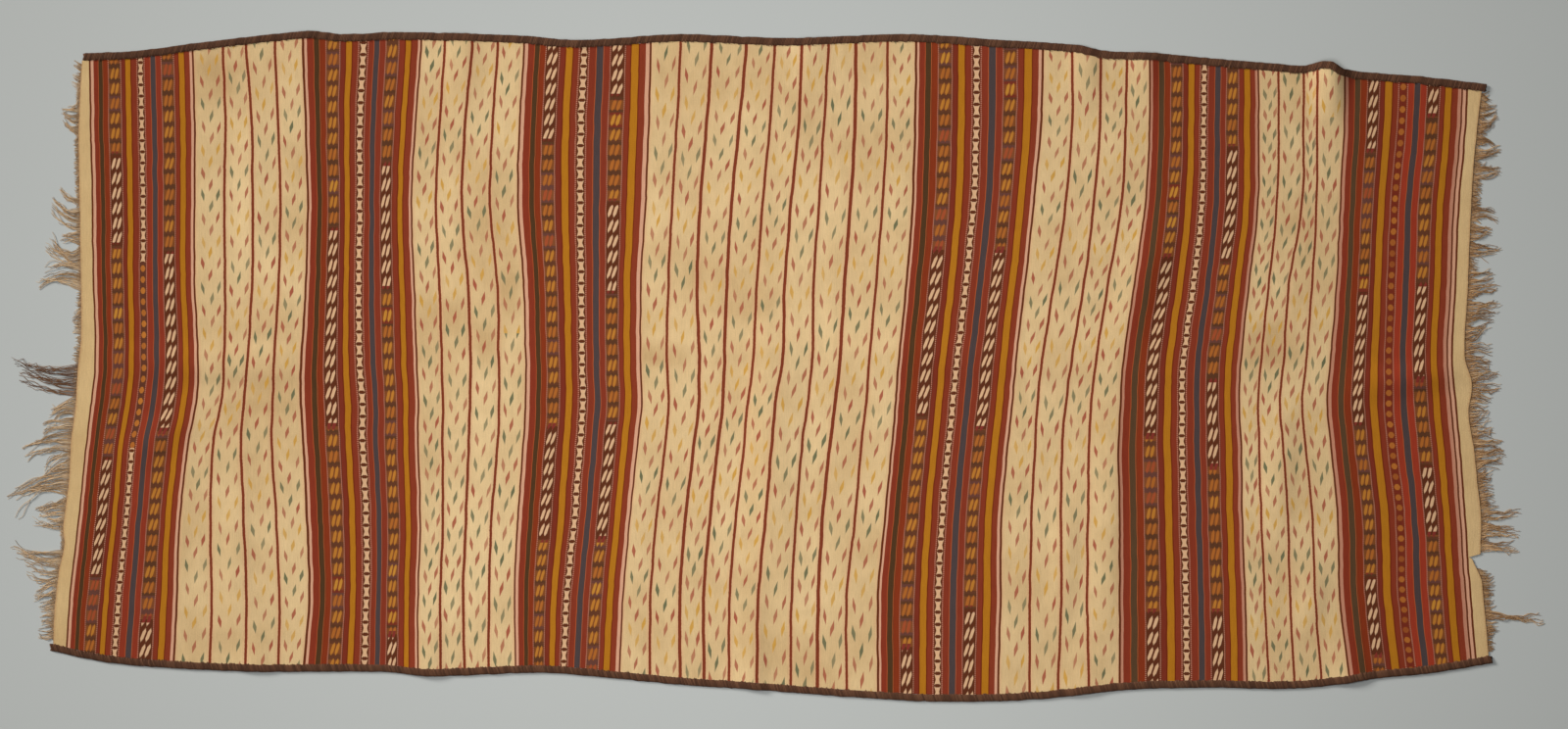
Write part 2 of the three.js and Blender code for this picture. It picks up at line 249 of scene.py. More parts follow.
# Their figures: how many have passed at 748, 9 and -730 mm across the rug, the colour at the far side,
# and where it changes
figures = {
    "A1": ((1.35, 22.28, 43.02), "orange", [499, 284, -213, -497]),
    "AX": ((1.29, 29.51, 58.11), "white", [245, -192]),
    "A2": ((0.69, 20.7, 40.61), "orange", [273, -152, -596]),
    "B1": ((0.34, 20.11, 39.7), "orange", [328, -141]),
    "BX": ((1.04, 27.05, 52.96), "white", []),
    "B2": ((0.88, 19.91, 39.8), "orange", [480, 182, -631]),
    "C1": ((1.36, 22.02, 42.6), "white", [529, -141, -407]),
    "CX": ((0.97, 28.33, 54.72), "white", []),
    "C2": ((1.26, 21.83, 41.34), "white", [635, 388, 171, -129, -407]),
    "D1": ((0.42, 20.21, 38.86), "orange", [275, -118, -661]),
    "DX": ((0.87, 26.98, 52.73), "white", []),
    "D2": ((0.46, 20.12, 39.63), "orange", [275, -148, -571]),
    "E1": ((1.46, 22.22, 42.41), "orange", [259, -164, -578]),
    "EX": ((1.38, 29.95, 57.72), "white", []),
    "E2": ((0.15, 19.69, 38), "orange", [517, 247, -30, -236, -578]),
    "F1": ((0.59, 21.19, 42.21), "white", [506, 176, -139, -494, -679]),
    "FX": ((1.67, 30.14, 60.64), "orange", []),
    "F2": ((1.18, 20.79, 41.94), "white", [589, 196, -30, -231, -397]),
}

# Small lozenges in the field columns: how many rows of pairs have passed at 748, 9 and -730 mm, from
# a green pair on
lozengeCounts = {
    "A": [(1.53, 15.27, 28.73), (-1.21, 12.07, 25.27), (0.25, 12.98, 26.14), (1.18, 14.5, 28.33)],
    "B": [(-0.18, 12.5, 24.97), (0.37, 13.26, 25.26), (1.06, 14.06, 25.79), (-1.18, 11.19, 22.56)],
    "C": [(0.39, 11.71, 23.97), (0.12, 11.45, 23.24), (0.01, 12.98, 24.18), (0.42, 13.61, 24.89),
          (1.41, 14.42, 27.45), (1.16, 12.5, 23.6), (1.97, 13.12, 24.17), (1.18, 13.84, 25.08),
          (0.54, 14.16, 25.34)],
    "D": [(0.67, 14.55, 26.44), (-0.75, 10.62, 21.44), (0.74, 14.7, 25.98), (2.32, 15.29, 28.66)],
    "E": [(1.82, 15.93, 27.95), (2.81, 15.47, 29.42), (0.08, 12.42, 24.66), (-0.24, 11.93, 24.21)],
}


def atStations(values):
    return curveThrough(list(zip(reversed(stations), reversed(values))))


def countAlong(counts):  # a counter that runs from the far side to the near one
    far, middle, near = counts
    bow = middle - (far + near) / 2

    def value(y):
        t = (stations[0] - y) / (stations[0] - stations[-1])
        return far + (near - far) * t + bow * 4 * t * (1 - t)

    return value


def changeSide(first, changes):  # way to the nearest change, at most 40 mm, positive in orange
    sign = 1 if first == "orange" else -1

    def value(y):
        side = sign
        nearest = 40
        for change in changes:
            if y < change:
                side = -side
            nearest = min(nearest, abs(y - change))
        return side * nearest

    return value


cloth = {
    "thickness": 3,
    "binding": 16.8,  # width left free along each long side
    "cell": 12.5,
    "rows": 118,
    "ragged": 0.8,  # how far the two ends stray
    "endLines": (6.5, 5.2),  # widths of the pink and the brown one at the right
}

# Numbers of lanes in the weave map, counted from a band's first one. The skirts and the end lines lie
# in a band of their own. bands: from one band to the next
laneAt = {"bands": 40, "fields": 20, "endLines": 30, "leftSkirt": 36, "rightSkirt": 38}

# The bake map lays the left half of the cloth below the right one
bakeMap = {"left": 1712, "middle": 90, "width": 1790, "near": 795, "height": 3200}


# Every lane of the cloth from left to right: the lines x(y) at its sides, its number in the weave map,
# its counter of figures, and its colour side or the half widths of its two lines
def clothLanes():
    lanes = []
    places = {}
    letters = list(seams)
    ends = len(letters) * laneAt["bands"]

    def add(left, right, number, count=lambda y: y / 10, side=lambda y: 0, widths=None):
        lanes.append(dict(left=left, right=right, number=number, count=count, side=side, widths=widths))

    def between(start, end, share):
        return lambda y: start(y) + (end(y) - start(y)) * share

    def shifted(line, shift):
        return lambda y: line(y) + shift(y)

    for letter in letters:
        guides = [atStations(row) for row in seams[letter]]
        places[letter] = []
        for start in stripeStarts[letter]:
            half = 0 if start < 50 else 1
            places[letter].append(between(guides[half], guides[half + 1], start / 100 * 2 - half))
    add(leftEdge, places["A"][0], ends + laneAt["leftSkirt"])
    for order, letter in enumerate(letters):
        base = order * laneAt["bands"]
        for stripe, (left, right) in enumerate(zip(places[letter], places[letter][1:])):
            if stripe in figureStripes:
                counts, first, changes = figures[letter + figureStripes[stripe]]
                add(left, right, base + stripe, countAlong(counts), changeSide(first, changes))
            else:
                add(left, right, base + stripe)
        start = places[letter][-1]
        if letter == letters[-1]:
            break
        end = places[letters[order + 1]][0]
        lines = [start]
        widths = [0]
        for i, (share, width) in enumerate(fieldLines[letter]):
            line = between(start, end, share)
            if letter + str(i) in strays:
                line = shifted(line, atStations(strays[letter + str(i)]))
            lines.append(line)
            widths.append(width)
        lines.append(end)
        widths.append(0)
        for i, counts in enumerate(lozengeCounts[letter]):
            number = base + laneAt["fields"] + i
            add(lines[i], lines[i + 1], number, countAlong(counts), widths=widths[i:i + 2])
    for i, width in enumerate(cloth["endLines"]):
        end = shifted(start, lambda y, width=width: width)
        add(start, end, ends + laneAt["endLines"] + i)
        start = end
    add(start, skirtEdge, ends + laneAt["rightSkirt"])
    return lanes


# Darker and lighter places in the ivory, stains and painted shade and light: x, y, reach along x and y, and
# how dark
patches = [
    (-1313, 684, 70, 92, 0.35), (-1190, 420, 110, 300, -0.15), (-1210, -60, 130, 280, 0.2),
    (-698, 406, 66, 140, 0.3), (-780, 140, 95, 75, 0.25), (-686, 48, 56, 70, 0.6),
    (-626, 166, 46, 92, 0.4), (-724, -390, 140, 340, -0.4), (-262, 26, 72, 38, 0.6),
    (-55, 145, 100, 70, 0.3), (-170, 215, 116, 116, 0.12), (-230, -350, 60, 70, 0.15),
    (-280, -600, 92, 92, 0.2), (94, -676, 140, 96, 0.22), (696, 21, 92, 70, 0.15),
    (740, -160, 70, 90, 0.2), (1236, 286, 104, 116, 0.2), (1165, 40, 80, 80, 0.35),
    (1180, -500, 60, 120, 0.2), (60, -150, 60, 260, -0.2), (-110, -330, 44, 260, -0.35),
]


# stains and painted shade and light on the ivory, from the patches and a cloud
def stainAndShadeAt(x, y):
    warped = x + 40 * noiseOf(x / 70, y / 70, 2)
    amount = 0
    for middleX, middleY, reachX, reachY, strength in patches:
        away = math.hypot((warped - middleX) / reachX, (y - middleY) / reachY)
        amount += strength * (1 - smooth(away, 0.15, 1.25))
    cloud = noise.fractal(Vector((x / 150, y / 150, 8)), 1, 2, 4)
    return 0.3 + amount + 0.4 * cloud


def wander(x, y):  # small crooked turns of the woven lines
    return 1.6 * noiseOf(x / 60, y / 42, 0.5) + 0.7 * noiseOf(x / 30, y / 15, 7)


def addMesh(name, verts, polygons, maps, sharp):
    mesh = bpy.data.meshes.new(name)
    mesh.from_pydata([(x * mm, y * mm, z * mm) for x, y, z in verts], [], polygons)
    for mapName, uvs in maps.items():
        layer = mesh.uv_layers.new(name=mapName)
        layer.data.foreach_set("uv", [number for pair in uvs for number in pair])
    piece = bpy.data.objects.new(name, mesh)
    bpy.context.collection.objects.link(piece)
    piece.select_set(True)
    bpy.context.view_layer.objects.active = piece
    bpy.ops.object.shade_smooth_by_angle(angle=math.radians(sharp))
    piece.select_set(False)
    print(name, "faces", len(polygons))
    return piece


def buildCloth():
    lanes = clothLanes()
    columns = []  # the lane and the share between its two lines
    faces = []  # the lane and the shares at the two sides of each column of faces
    for lane in lanes:
        width = lane["right"](0) - lane["left"](0)
        count = max(1, math.ceil(width / cloth["cell"] - 0.3))
        for i in range(count):
            columns.append((lane, i / count))
            faces.append((lane, i / count, (i + 1) / count))
    columns.append((lanes[-1], 1))

    def pointAt(column, share):
        lane, part = columns[column]
        x = lane["left"](0)
        for _ in range(5):
            near = nearEdge(x) + cloth["binding"]
            far = farEdge(x) - cloth["binding"]
            y = near + (far - near) * share
            x = lane["left"](y) + (lane["right"](y) - lane["left"](y)) * part
        return x, y

    columnCount = len(columns)
    lastColumn = columnCount - 1

    def shareAt(y):  # the share of the width at which the right end has this y, step by step
        share = 0.2
        endLength = 1340
        for _ in range(12):
            share += (y - pointAt(lastColumn, share)[1]) / endLength
        return share

    # rows of the cloth, with the lips and the tip of the tear among them
    tips = [shareAt(tear["y"] + offset) for offset, _ in tear["shape"][1:]]
    shares = [i / cloth["rows"] for i in range(cloth["rows"] + 1)]
    shares = [s for s in shares if s < tips[0] - 0.003 or s > tips[2] + 0.003]
    shares = sorted(shares + tips)

    verts = []
    for share in shares:
        for column in range(columnCount):
            x, y = pointAt(column, share)
            if column in (0, lastColumn):
                x += cloth["ragged"] * noiseOf(x / 9, y / 4, 3)
            else:
                edge = min(1, share * 12, (1 - share) * 12)
                x += wander(x, y) * (0.4 + 0.6 * edge)
            verts.append((x, y, lift(x, y)))
    rowCount = len(shares)
    size = len(verts)
    thickness = cloth["thickness"]
    upper = [(x, y, z + thickness) for x, y, z in verts]
    middleColumn = min(range(columnCount), key=lambda i: abs(verts[i][0] + 30))  # for the bake map
    polygons = []
    weave = []
    tone = []
    bake = []

    def corner(lane, part, vert, firstHalf, outward=(0, 0)):
        x, y, _ = verts[vert]
        weave.append((lane["number"] + part, lane["count"](y)))
        if lane["widths"]:
            left, right = lane["widths"]
            tone.append(((lane["right"](y) - lane["left"](y)) / 100, (left + (right - left) * part) / 100))
        else:
            tone.append((lane["side"](y) / 100, 0))
        bakeX = (x + bakeMap["left" if firstHalf else "middle"]) / bakeMap["width"]
        bakeY = (y + bakeMap["near"] + outward[1]) / bakeMap["height"]
        bake.append((bakeX + outward[0] / bakeMap["width"], bakeY + (0 if firstHalf else 0.5)))

    for row in range(rowCount - 1):
        for number, (lane, start, end) in enumerate(faces):
            a = row * columnCount + number
            ring = (a, a + 1, a + columnCount + 1, a + columnCount)
            first = max(start, 0.0005)  # a lane never quite reaches its neighbour in the weave map
            last = min(end, 0.9995)
            parts = (first, last, last, first)
            firstHalf = number < middleColumn
            polygons.append(tuple(size + i for i in ring))
            polygons.append(ring[::-1])
            corners = list(zip(ring, parts))
            for vert, part in corners + corners[::-1]:
                corner(lane, part, vert, firstHalf)

    def wall(a, b, lane, part, firstHalf, outward):
        polygons.append((a, b, size + b, size + a))
        for vert, away in ((a, outward), (b, outward), (b, (0, 0)), (a, (0, 0))):
            corner(lane, part, vert, firstHalf, away)

    for number, (lane, start, end) in enumerate(faces):
        firstHalf = number < middleColumn
        part = (start + end) / 2
        top = (rowCount - 1) * columnCount + number
        wall(number, number + 1, lane, part, firstHalf, (0, -thickness))
        wall(top + 1, top, lane, part, firstHalf, (0, thickness))
    for row in range(rowCount - 1):
        low = row * columnCount
        wall(low + columnCount, low, lanes[0], 0.01, True, (-thickness, 0))
        low += lastColumn
        wall(low, low + columnCount, lanes[-1], 0.99, False, (thickness, 0))

    maps = {"weave": weave, "tone": tone, "OFBake": bake}
    piece = addMesh("wovenCloth", verts + upper, polygons, maps, 50)
    # the ivory's stains and painted shade and light, at each point
    stainAndShade = piece.data.attributes.new("stainAndShade", "FLOAT", "POINT")
    stainAndShade.data.foreach_set("value", [stainAndShadeAt(x, y) for x, y, _ in verts] * 2)
    return piece


def tubeFaces(first, rings, sides, flipped=False):  # round the sides, then the two ends
    faces = []
    for a in range(first, first + (rings - 1) * sides):
        b = a + 1 if (a + 1 - first) % sides else a + 1 - sides
        faces.append((a, b, b + sides, a + sides))
    last = first + (rings - 1) * sides
    faces.append(tuple(range(first, first + sides))[::-1])
    faces.append(tuple(range(last, last + sides)))
    return [face[::-1] for face in faces] if flipped else faces


selvedge = {
    "width": 16.5,
    "height": 6.4,
    "wrap": 3.7,  # from one wrap of yarn to the next
    "ridge": 0.55,
    "slant": 3.2,
    "tooth": 3.4,  # how far a wrap may reach over the cloth
    "sides": 12,
    "profile": [(0, -1.0), (0.3, 0.25), (0.62, 1.0), (0.86, 0.35)],  # place in a wrap, ridge's height
    "flatness": (0.72, 0.82),  # below and above, where 1 is round
    "swings": [(1.3, 34, 0), (0.8, 13, 4)],  # how far it strays, over what length, and a seed
}


def buildSelvedge(name, edge, outward, fromX, toX, seed):
    dice = random.Random(seed)
    wraps = round((toX - fromX) / selvedge["wrap"])
    reach = [dice.uniform(0, 1) ** 1.5 for _ in range(wraps + 1)]
    swell = [dice.uniform(-0.5, 0.5) for _ in range(wraps + 1)]
    verts = []
    rings = [(i, i + place, ridge) for i in range(wraps) for place, ridge in selvedge["profile"]]
    rings.append((wraps, wraps, -1.0))
    sides = selvedge["sides"]
    halfWidth = selvedge["width"] / 2
    halfHeight = selvedge["height"] / 2
    for number, station, ridge in rings:
        baseX = fromX + (toX - fromX) * station / wraps
        middle = edge(baseX) - outward * halfWidth
        swing = sum(size * noiseOf(baseX / length, seed, own) for size, length, own in selvedge["swings"])
        floor = lift(baseX, edge(baseX) - outward * selvedge["width"])
        for side in range(sides):
            angle = math.tau * side / sides
            across = math.cos(angle)
            up = math.sin(angle)
            flatness = selvedge["flatness"][0 if up < 0 else 1]
            bulge = selvedge["ridge"] * ridge * (1 if up > -0.3 else 0.3) + 0.2 * swell[number]
            tooth = 0
            if across < -0.3 and up > -0.2:
                tooth = selvedge["tooth"] * reach[number] * (0.4 + 0.6 * max(ridge, 0))
            y = middle + outward * (across * (halfWidth + bulge * 0.5) - tooth + swing)
            z = floor + halfHeight + math.copysign(abs(up) ** flatness, up) * (halfHeight - 0.4)
            z += bulge * max(up, 0)
            x = baseX + selvedge["slant"] * across * (1 if up >= 0 else -1)
            verts.append((x, y, max(z, floor + 0.02)))
    polygons = tubeFaces(0, len(rings), sides, outward > 0)
    uvs = []
    for face in polygons:
        closes = {vert % sides for vert in face} == {0, sides - 1}
        for vert in face:
            turn = vert % sides / sides or float(closes)
            uvs.append((rings[vert // sides][1], 0.5 if len(face) > 4 else turn))
    return addMesh(name, verts, polygons, {"yarn": uvs}, 70)


# Tufts of warp ends: root from y to y, reach, drift of the tips to the far side, width left at the
# tips, and bow of the middle to the far side
tufts = {
    "left": [
        (712, 649, 22, 12, 0.9, 0), (649, 626, 12, 4, 0.9, 0), (626, 541, 40, 8, 0.55, -3),
        (541, 397, 14, 2, 0.95, 0), (397, 377, 52, 30, 0.5, -8), (377, 323, 74, 40, 0.35, -10),
        (323, 284, 44, 5, 0.6, 0), (284, 231, 80, 30, 0.35, -14), (231, 176, 104, -4, 0.5, 14),
        (176, 139, 15, 0, 0.95, 0), (139, 74, 24, -5, 0.8, 0), (74, 9, 18, -2, 0.9, 0),
        (9, -69, 152, 28, 0.36, -8), (-69, -120, 60, -20, 0.5, 8), (-120, -152, 75, -10, 0.5, 3),
        (-152, -201, 112, -20, 0.42, 2), (-201, -243, 72, -26, 0.5, 4), (-243, -305, 136.5, -40, 0.38, 4),
        (-305, -386, 72, -4, 0.6, 0), (-386, -432, 10, 0, 0.95, 0), (-432, -478, 114, 18, 0.5, -4),
        (-478, -506, 92, 2, 0.55, -2), (-506, -543, 62, -20, 0.55, 3), (-543, -640, 38, -8, 0.88, 0),
        (700, -650, 10, 0, 0.97, 0),
    ],
    "rightFar": [
        (645, 612, 22, 8, 0.9, 0), (612, 582, 44, 10, 0.7, 0), (582, 545, 49, 14, 0.6, 0),
        (545, 517, 53, 4, 0.6, 2), (517, 483, 65, 9, 0.6, 0), (483, 439, 69, -2, 0.6, 0),
        (439, 372, 24, 0, 0.9, 0), (372, 340, 69, -4, 0.5, 8), (340, 296, 50, -2, 0.65, 0),
        (296, 259, 74, 8, 0.6, -3), (259, 219, 14, 0, 0.95, 0), (219, 192, 60, 5, 0.65, 0),
        (192, 157, 78, 11, 0.6, 0), (157, 127, 85, 14, 0.6, -2), (127, 79, 65, 12, 0.55, 0),
        (79, 51, 55, 9, 0.6, 0), (51, -65, 66, 5, 0.8, 0), (-65, -166, 54, 3, 0.85, 0),
        (-166, -249, 70, 6, 0.75, 0), (-249, -337, 42, 0, 0.9, 0), (-337, -363, 97, 3, 0.6, 0),
        (-363, -438, 92, -2, 0.75, 0), (645, -438, 24, 0, 0.97, 0),
    ],
    "rightNear": [
        (-476, -522, 34, 4, 0.85, 0), (-522, -573, 32, 2, 0.85, 0), (-573, -596, 136.5, -4, 0.7, 8),
        (-596, -638, 30, 0, 0.85, 0), (-638, -674, 16, 0, 0.9, 0), (-476, -668, 20, 0, 0.97, 0),
    ],
}
warpEnds = {
    "pitch": 2.0,
    "radius": 0.9,
    "sides": 4,
    "step": 7,
    "strand": 15,  # width of the warps that twist into one strand
    "curl": 3.8,
    "tuft": 0.8,  # rows that gather to less than this share are tufts
    "loose": 0.24,  # share of the yarns that leave their strand
    "darkTuft": (9, -69),  # the tuft of brown yarn at the left end
    "darkNumber": 5000,  # added to the number of a brown yarn
}
fullTurn = 6.28


def buildWarpEnds(name, edge, outward, rows, seed):
    dice = random.Random(seed)
    verts = []
    polygons = []
    uvs = []
    sides = warpEnds["sides"]
    yarn = 0
    for top, bottom, reach, drift, gather, bow in rows:
        dark = (top, bottom) == warpEnds["darkTuft"]
        width = top - bottom
        isTuft = gather < warpEnds["tuft"]
        strands = max(1, round(width / (warpEnds["strand"] * (1 if isTuft else 1.6))))
        for strand in range(strands):
            low = bottom + width * strand / strands
            high = bottom + width * (strand + 1) / strands
            middle = (low + high) / 2
            toMiddle = (middle - (top + bottom) / 2) * (1 - gather)
            length = reach * dice.uniform(0.84, 1.06)
            sway = drift - toMiddle + dice.gauss(0, 0.09) * reach
            arch = bow + dice.gauss(0, 0.05) * reach
            phase = dice.uniform(0, fullTurn)
            count = max(2, round((high - low) / warpEnds["pitch"] * (0.8 if dark else 1)))
            for i in range(count):
                yarn += 1
                offset = (0.5 - (i + 0.5) / count) * (high - low) + dice.uniform(-0.4, 0.4)
                own = length * (1 - 0.5 * dice.random() ** 2.5)
                loose = dice.random() < warpEnds["loose"]
                if not isTuft and dice.random() < 0.3:
                    own *= 0.6
                ply = warpEnds["radius"] * dice.uniform(0.75, 1.15)
                steps = max(4, min(20, round(own / warpEnds["step"]) + 3))
                turn = dice.uniform(0, fullTurn)
                swing = warpEnds["curl"] * dice.uniform(0.3, 1.1) * min(1, own / 45) * (1.9 if loose else 1)
                turns = dice.uniform(0.8, 1.9) * own / 48
                stray = dice.gauss(0, 0.13 if loose else 0.035) * own
                hump = dice.uniform(0.3, 4.0) * min(1, own / 50)
                line = []
                for step in range(steps + 1):
                    share = step / steps
                    along = own * share / length
                    spread = 1 - smooth(along, 0.05, 0.6) * 0.62 + max(0, along - 0.6) * 0.7
                    if not isTuft:
                        spread = 1 - 0.15 * along
                    y = middle + offset * spread + sway * along ** 1.3 + arch * 4 * along * (1 - along)
                    y += stray * share ** 1.6
                    y += 2.2 * min(1, length / 50) * math.sin(phase + along * 5.5) * along
                    y += swing * share * math.sin(turn + fullTurn * turns * share)
                    x = edge(middle + offset) + outward * (own * share - 2.5 * (1 - share))
                    x += outward * 0.8 * swing * share * math.cos(turn * 1.7 + fullTurn * turns * share)
                    z = ply + 0.1 + (1.5 - ply) * max(0, 1 - share * 5)
                    z += hump * math.sin(math.pi * share) ** 2
                    line.append(Vector((x, y, z)))
                first = len(verts)
                for step, point in enumerate(line):
                    ahead = (line[min(step + 1, steps)] - line[max(step - 1, 0)]).normalized()
                    sideways = Vector((0, 0, 1)).cross(ahead).normalized()
                    upward = ahead.cross(sideways)
                    share = step / steps
                    radius = ply * (1 - 0.5 * share ** 3)
                    for side in range(sides):
                        angle = math.tau * side / sides + share * 2.2 + turn
                        spot = point + radius * (math.cos(angle) * sideways + math.sin(angle) * upward)
                        verts.append((spot.x, spot.y, max(spot.z, 0.02)))
                number = yarn + 0.5 + (warpEnds["darkNumber"] if dark else 0)
                for face in tubeFaces(first, steps + 1, sides):
                    polygons.append(face)
                    for vert in face:
                        uvs.append((number, own * ((vert - first) // sides) / steps / 100))
    print(name, "yarns", yarn)
    return addMesh(name, verts, polygons, {"yarn": uvs}, 70)


# A shader socket that Python's operators work on
class Wire:
    def __init__(self, tree, socket=None):
        self.tree = tree
        self.socket = socket

    def node(self, kind, settings=None, values=None, output=0):
        made = self.tree.nodes.new(kind)
        for name, value in (settings or {}).items():
            setattr(made, name, value)
        for name, value in (values or {}).items():
            if isinstance(value, Wire):
                self.tree.links.new(value.socket, made.inputs[name])
            else:
                made.inputs[name].default_value = value
        return Wire(self.tree, made.outputs[output])

    def also(self, output):  # another output of the same node
        return Wire(self.tree, self.socket.node.outputs[output])

    def parts(self, kind, source, count):
        first = self.node(kind, {}, {0: source})
        return [first.also(i) for i in range(count)]

    def math(self, operation, *terms):
        return self.node("ShaderNodeMath", {"operation": operation}, dict(enumerate(terms)))

    def vector(self, operation, *terms):
        return self.node("ShaderNodeVectorMath", {"operation": operation}, dict(enumerate(terms)))

    def __add__(self, other):
        return self.math("ADD", self, other)

    def __radd__(self, other):
        return self.math("ADD", other, self)

    def __sub__(self, other):
        return self.math("SUBTRACT", self, other)

    def __rsub__(self, other):
        return self.math("SUBTRACT", other, self)

    def __mul__(self, other):
        return self.math("MULTIPLY", self, other)

    def __rmul__(self, other):
        return self.math("MULTIPLY", other, self)

    def __truediv__(self, other):
        return self.math("DIVIDE", self, other)

    def __mod__(self, other):
        return self.math("FLOORED_MODULO", self, other)

    def __lt__(self, other):
        return self.math("LESS_THAN", self, other)

    def __gt__(self, other):
        return self.math("GREATER_THAN", self, other)

    def __abs__(self):
        return self.math("ABSOLUTE", self)

    def floor(self):
        return self.math("FLOOR", self)

    def least(self, other):
        return self.math("MINIMUM", self, other)

    def most(self, other):
        return self.math("MAXIMUM", self, other)

    def between(self, low, high):
        return (self > low) * (self < high)

    def near(self, middle, reach=0.5):
        return abs(self - middle) < reach

    def stepped(self, step):  # the middle of the step in which it lies
        return ((self / step).floor() + 0.5) * step

    def blur(self, low, high):  # from 0 at low to 1 at high
        values = {"Value": self, "From Min": low, "From Max": high}
        return self.node("ShaderNodeMapRange", {"interpolation_type": "SMOOTHSTEP"}, values)

    def mix(self, factor, first, second, mode="MIX"):  # by number, since the names of sockets repeat
        settings = {"data_type": "RGBA", "blend_type": mode}
        return self.node("ShaderNodeMix", settings, {0: factor, 6: first, 7: second}, 2)

    def blend(self, *colours):  # two colours or names of dyes, this socket as the factor
        return self.mix(self, *(dyes[tint] if isinstance(tint, str) else tint for tint in colours))

    def ramp(self, stops, interpolation="LINEAR"):
        made = self.node("ShaderNodeValToRGB", {}, {0: self})
        ramp = made.socket.node.color_ramp
        ramp.interpolation = interpolation
        while len(ramp.elements) < len(stops):
            ramp.elements.new(0.5)
        for element, (position, _) in zip(ramp.elements, stops):
            element.position = position
        for element, (_, tint) in zip(ramp.elements, stops):
            element.color = tint
        return made


def colour(red, green, blue):  # from the values of a colour picker
    def linear(value):
        value = value / 255
        return value / 12.92 if value <= 0.04045 else ((value + 0.055) / 1.055) ** 2.4

    return (linear(red), linear(green), linear(blue), 1)


def shades(*rows):  # a ramp's stops, from their places and colour picker values
    return [(place, colour(*values)) for place, *values in rows]


def newMaterial(name):
    material = bpy.data.materials.new(name)
    material.use_nodes = True
    return material, Wire(material.node_tree), material.node_tree.nodes["Principled BSDF"]


def mapParts(wire, name):
    return wire.parts("ShaderNodeSeparateXYZ", wire.node("ShaderNodeUVMap", {"uv_map": name}), 2)


def dress(wire, shader, look, body, height):
    wire.tree.links.new(body.socket, shader.inputs["Base Color"])
    shader.inputs["Roughness"].default_value = look["roughness"]
    shader.inputs["Specular IOR Level"].default_value = look["specular"]
    values = {"Height": height, "Distance": look["relief"], "Strength": look["strength"]}
    wire.tree.links.new(wire.node("ShaderNodeBump", {}, values).socket, shader.inputs["Normal"])


dyes = {  # values of a colour picker
    # the darker ivory is the colour of both its stains and painted shade
    "ivory": (220, 190, 141), "ivoryStainAndShade": (184, 150, 103), "skirt": (196, 162, 110),
    "frayed": (180, 138, 96), "line": (122, 54, 33), "blush": (214, 158, 118), "brown": (98, 46, 24),
    "pink": (204, 152, 122), "latePink": (184, 126, 100), "brick": (128, 50, 31),
    "olive": (76, 52, 30), "lateOlive": (84, 61, 40), "orange": (164, 80, 42), "red": (127, 50, 24),
    "brightRed": (152, 54, 34), "maroon": (117, 46, 30), "rust": (130, 54, 33),
    "gold": (169, 109, 26), "goldShade": (110, 40, 18), "wine": (127, 51, 31), "slate": (73, 61, 60),
    "crimson": (127, 51, 32), "dot": (190, 138, 112), "white": (208, 166, 127),
    "umber": (91, 46, 27), "atChange": (126, 50, 40), "amongStrokes": (132, 74, 36),
    "green": (104, 104, 74), "rose": (160, 86, 63), "straw": (196, 148, 68),
}
dyes = {name: colour(*values) for name, values in dyes.items()}

# Dyes of a band's stripes from left to right
stripeDyes = [
    "brown", "pink", "brick", "olive", "red", "umber", "maroon", "gold", "wine", "umber",
    "crimson", "slate", "crimson", "umber", "wine", "gold", "rust", "pink", "brown",
]

# The orange strokes and their ground change from one to the next
strokeOranges = shades((0, 176, 114, 44), (0.45, 164, 96, 40), (0.85, 154, 74, 42), (0.92, 184, 126, 48))
groundOranges = shades((0, 96, 56, 36), (0.4, 88, 54, 34), (0.75, 98, 60, 50), (0.94, 114, 47, 32))

# Measures in millimetres. Lengths run from the far side to the near one
pattern = {
    "pick": 2.4,  # one step in the outline of a figure, and one rib of the weave
    "stroke": (37, 33, 16.4, 5.6, 3.6),  # a pair's length and width, a stroke's reach, place and half
    "cross": (28, 22, 2),  # length, width and step
    "dot": 4.8,
    "goldEdges": [(6.89, 0.11), (8.1, 0.1), (14.9, 0.1), (16.08, 0.08)],  # middles, half widths, in lanes
    "lozenge": (60, 17.5, 3.8),  # length of a row, and a lozenge's half length and half width
}
woolLook = {"roughness": 0.95, "specular": 0.06, "relief": 0.0007, "strength": 0.8}
yarnLook = {"roughness": 0.9, "specular": 0.25, "relief": 0.0004, "strength": 0.7}


